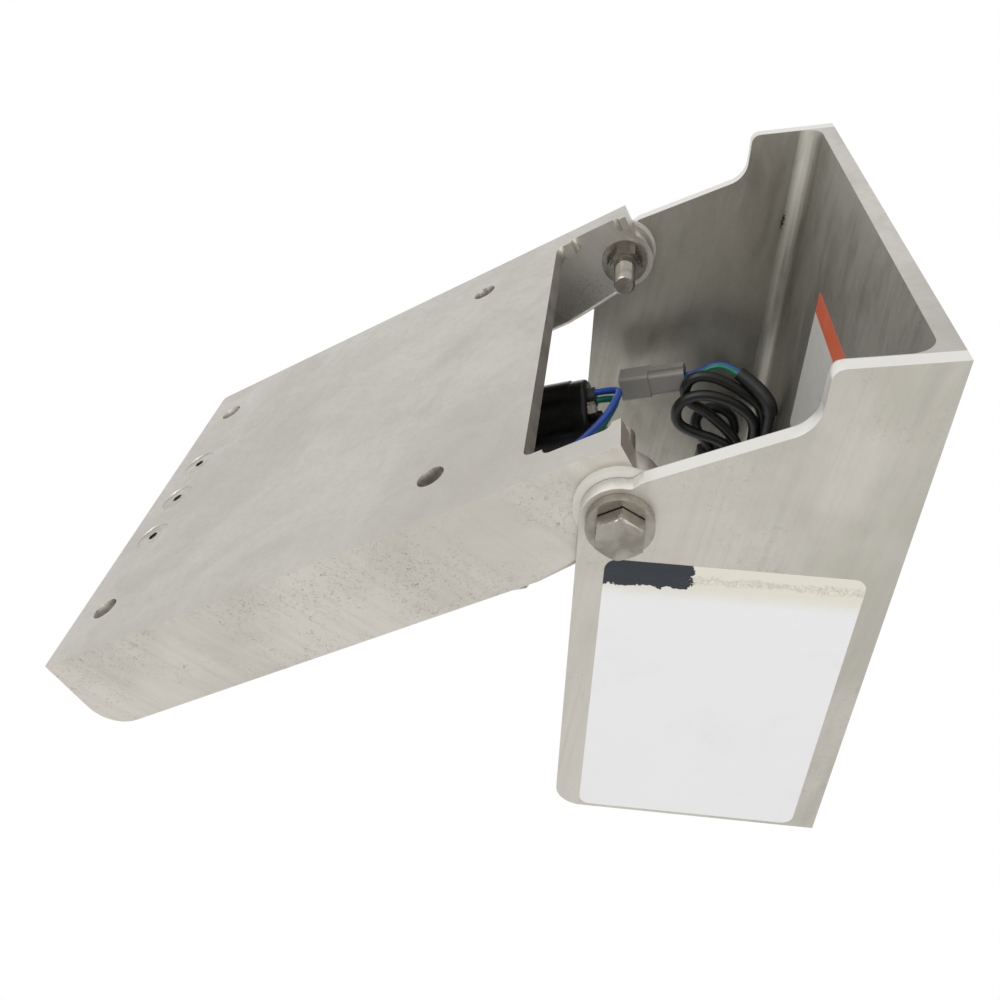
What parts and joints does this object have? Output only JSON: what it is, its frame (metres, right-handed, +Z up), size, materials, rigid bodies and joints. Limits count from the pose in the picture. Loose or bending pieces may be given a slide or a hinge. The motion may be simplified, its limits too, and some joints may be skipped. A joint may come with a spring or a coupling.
{
  "type": "power trim and tilt unit",
  "caption": "Aluminium outboard motor mounting unit: a channel-shaped transom plate hinged inside a deep motor bracket, tilted by an electric hydraulic cylinder.",
  "frame": {"origin": "on the surface the unit stands on, in the middle of its footprint box without the loose harness", "axes": "+X along the tilt hinge, +Y towards the low end of the transom plate, +Z up; the unit stands opened like a letter A"},
  "size_m": [0.3222, 0.395, 0.2685],
  "materials": {
    "mill_aluminium": "mill finish with fine marks",
    "machined_aluminium": "machined",
    "stainless": "plain stainless",
    "acetal": "smooth",
    "bronze": "machined",
    "black_paint": "gloss black",
    "chrome": "polished",
    "steel": "turned",
    "black_rubber": "satin",
    "black_plastic": "moulded",
    "blue_insulation": "smooth",
    "green_insulation": "smooth",
    "grey_plastic": "moulded",
    "orange_silicone": "moulded"
  },
  "bodies": {
    "transom_side": {"transom_plate": "mill_aluminium", "actuator_bracket": "machined_aluminium", "bracket_screws": "stainless", "lower_pivot_pin": "stainless", "lower_pin_clips": "stainless", "hinge_bolts": "stainless", "outer_washers": "stainless", "thrust_washers": "acetal", "inner_washers": "stainless", "lock_nuts": "stainless"},
    "motor_side": {"motor_bracket": "mill_aluminium", "hinge_bushes": "bronze", "upper_clevis": "machined_aluminium", "clevis_screws": "stainless", "upper_pivot_pin": "stainless", "upper_pin_clips": "stainless", "harness_plug": "grey_plastic", "harness_seal": "orange_silicone", "green_wire": "green_insulation", "blue_wire": "blue_insulation", "harness_cable": "black_rubber", "harness_coil": "black_rubber", "harness_tail": "black_rubber", "second_plug": "grey_plastic", "coil_tie": "black_plastic"},
    "cylinder": {"manifold_block": "machined_aluminium", "lower_eye_bush": "bronze", "cylinder_tube": "black_paint", "gland": "machined_aluminium", "rod_wiper": "black_rubber", "pressure_line": "stainless", "pipe_nuts": "stainless", "relief_screw": "stainless", "reservoir": "black_paint", "fill_plug": "stainless", "motor_case": "black_paint", "motor_end_cap": "black_paint", "motor_bolts": "stainless", "lead_grommet": "black_rubber", "terminal_clip": "black_plastic", "blue_lead": "blue_insulation", "green_lead": "green_insulation", "lead_plug": "black_plastic", "plug_strap": "black_plastic"},
    "rod": {"piston": "steel", "piston_ring": "bronze", "piston_rod": "chrome", "rod_eye": "chrome"}
  },
  "joints": [
    {"name": "tilt", "type": "hinge", "parent": "transom_side", "child": "motor_side", "pos_m": [0, -0.07433, 0.18113], "axis": [-1, 0, 0], "range_deg": [-58, 5]},
    {"name": "cylinder_swing", "type": "hinge", "parent": "transom_side", "child": "cylinder", "pos_m": [0, 0.14829, 0.02824], "axis": [-1, 0, 0], "range_deg": [-6, 1]},
    {"name": "rod_slide", "type": "slide", "parent": "cylinder", "child": "rod", "axis": [0, -0.9395, 0.3426], "range_m": [-0.085, 0.01]}
  ],
  "couplings": [
    {"joint": "cylinder_swing", "follows": "tilt", "ratio": 0.0934},
    {"joint": "rod_slide", "follows": "tilt", "m_per_rad": 0.08017}
  ]
}
